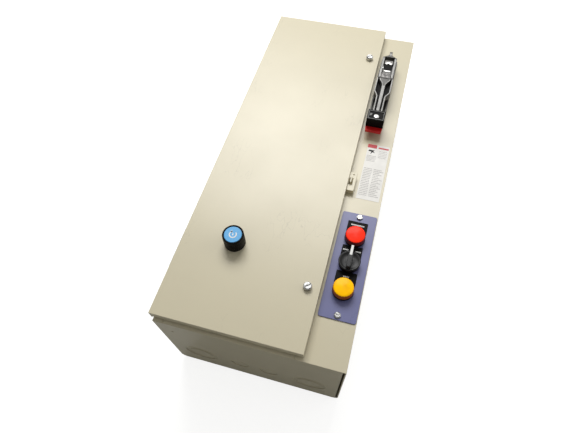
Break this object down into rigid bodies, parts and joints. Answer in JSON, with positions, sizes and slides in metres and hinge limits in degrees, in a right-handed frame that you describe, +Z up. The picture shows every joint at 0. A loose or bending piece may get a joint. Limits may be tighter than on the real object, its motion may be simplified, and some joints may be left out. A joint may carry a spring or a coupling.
{
  "type": "motor protection breaker",
  "caption": "Wall-mounted steel enclosure with hinged door, flange-operated breaker handle, reset button, pilot lights and selector, holding a breaker, contactor and overload relay.",
  "frame": {"origin": "middle of the four wall holes, on the back face", "axes": "+Z up along the box, +Y into the wall, the door faces -Y and is hinged on the -X side"},
  "size_m": [0.2702, 0.216, 0.6335],
  "materials": {
    "paint": "satin beige powder coat, light orange peel",
    "pan_paint": "satin white",
    "zinc": "zinc plated",
    "bright_zinc": "bright zinc plated",
    "brass": "tinned brass",
    "label": "white vinyl sticker",
    "black_plastic": "satin moulded",
    "blue_plastic": "gloss moulded",
    "dark_casting": "dark grey die casting",
    "grey_casting": "grey die casting",
    "red_plastic": "gloss moulded",
    "breaker_plastic": "moulded phenolic",
    "aluminium_lug": "plated",
    "orange_plastic": "moulded",
    "ivory_plastic": "moulded",
    "coil_wrap": "varnished tape",
    "core_steel": "varnished laminations",
    "ceramic": "ceramic tube with end caps",
    "plate_paint": "satin blue-violet",
    "red_lens": "translucent, fluted inside",
    "amber_lens": "translucent, fluted inside",
    "grey_plastic": "moulded",
    "wire_black": "insulated wire",
    "wire_red": "insulated wire"
  },
  "bodies": {
    "root": {"enclosure_wrap": "paint", "top_end_cap": "paint", "bottom_end_cap": "paint", "conduit_knockouts": "paint", "flange_staple": "paint", "mounting_pan": "pan_paint", "pan_standoffs": "zinc", "panel_fasteners": "zinc", "ground_bar": "brass", "hinge_box_leaves": "zinc", "hinge_pins": "zinc", "flange_label": "label", "handle_base": "dark_casting", "handle_pivot_pin": "zinc", "mechanism_frame": "zinc", "guide_rods": "zinc", "breaker_base": "breaker_plastic", "breaker_cover": "breaker_plastic", "breaker_lugs": "aluminium_lug", "contactor_base": "breaker_plastic", "contactor_cover": "breaker_plastic", "contactor_coil": "coil_wrap", "starter_terminals": "zinc", "overload_body": "breaker_plastic", "transformer_core": "core_steel", "transformer_coil": "coil_wrap", "fuse_block": "breaker_plastic", "control_fuses": "ceramic", "terminal_block": "ivory_plastic", "control_plate": "plate_paint", "plate_screws": "bright_zinc", "legend_plates": "black_plastic", "device_bezels": "black_plastic", "red_lens": "red_lens", "amber_lens": "amber_lens", "device_blocks": "grey_plastic", "power_wires": "wire_black", "control_wires": "wire_red"},
    "door": {"door_panel": "paint", "hinge_door_leaves": "zinc", "door_hasp": "paint", "reset_bezel": "black_plastic", "reset_spring": "zinc"},
    "upper_latch": {"upper_latch_stud": "bright_zinc", "upper_latch_pawl": "zinc"},
    "lower_latch": {"lower_latch_stud": "bright_zinc", "lower_latch_pawl": "zinc"},
    "reset_button": {"reset_cap": "blue_plastic", "reset_rod": "zinc"},
    "handle": {"handle_lever": "grey_casting", "handle_grip": "black_plastic", "handle_cap": "red_plastic", "handle_crank": "zinc"},
    "yoke": {"drive_yoke": "zinc"},
    "toggle": {"breaker_toggle": "black_plastic"},
    "plunger": {"overload_plunger": "blue_plastic"},
    "carrier": {"contactor_carrier": "ivory_plastic"},
    "breaker_dial": {"trip_dial": "orange_plastic"},
    "relay_dial": {"overload_dial": "ivory_plastic"},
    "selector": {"selector_knob": "black_plastic"}
  },
  "joints": [
    {"name": "door_swing", "type": "hinge", "parent": "root", "child": "door", "pos_m": [-0.1362, -0.17, 0], "axis": [0, 0, -1], "range_deg": [0, 110]},
    {"name": "upper_latch_turn", "type": "hinge", "parent": "door", "child": "upper_latch", "pos_m": [0.0575, -0.192, 0.234], "axis": [0, -1, 0], "range_deg": [0, 90]},
    {"name": "lower_latch_turn", "type": "hinge", "parent": "door", "child": "lower_latch", "pos_m": [0.0575, -0.192, -0.224], "axis": [0, -1, 0], "range_deg": [0, 90]},
    {"name": "reset_press", "type": "slide", "parent": "door", "child": "reset_button", "axis": [0, 1, 0], "range_m": [0, 0.004], "stiffness_N_per_m": 300, "springref_m": -0.004, "deforming": ["reset_spring"]},
    {"name": "overload_reset", "type": "slide", "parent": "root", "child": "plunger", "axis": [0, 1, 0], "range_m": [0, 0.004]},
    {"name": "handle_swing", "type": "hinge", "parent": "root", "child": "handle", "pos_m": [0.0935, -0.186, 0.214], "axis": [-1, 0, 0], "range_deg": [0, 120.05]},
    {"name": "yoke_slide", "type": "slide", "parent": "root", "child": "yoke", "axis": [0, 0, -1], "range_m": [0, 0.04503]},
    {"name": "toggle_swing", "type": "hinge", "parent": "root", "child": "toggle", "pos_m": [0.008, -0.0446, 0.149], "axis": [1, 0, 0], "range_deg": [0, 35.95]},
    {"name": "carrier_slide", "type": "slide", "parent": "root", "child": "carrier", "axis": [0, 1, 0], "range_m": [0, 0.004], "stiffness_N_per_m": 400, "springref_m": -0.004},
    {"name": "selector_turn", "type": "hinge", "parent": "root", "child": "selector", "pos_m": [0.1033, -0.178, -0.1712], "axis": [0, -1, 0], "range_deg": [-45, 45]},
    {"name": "trip_dial_turn", "type": "hinge", "parent": "root", "child": "breaker_dial", "pos_m": [-0.022, -0.1016, 0.109], "axis": [0, -1, 0], "range_deg": [0, 270]},
    {"name": "overload_dial_turn", "type": "hinge", "parent": "root", "child": "relay_dial", "pos_m": [-0.033, -0.1176, -0.185], "axis": [0, -1, 0], "range_deg": [0, 270]}
  ],
  "couplings": [
    {"joint": "overload_reset", "follows": "reset_press", "ratio": 1},
    {"joint": "handle_swing", "follows": "yoke_slide", "rad_per_m": 46.508},
    {"joint": "toggle_swing", "follows": "yoke_slide", "rad_per_m": 13.915}
  ]
}
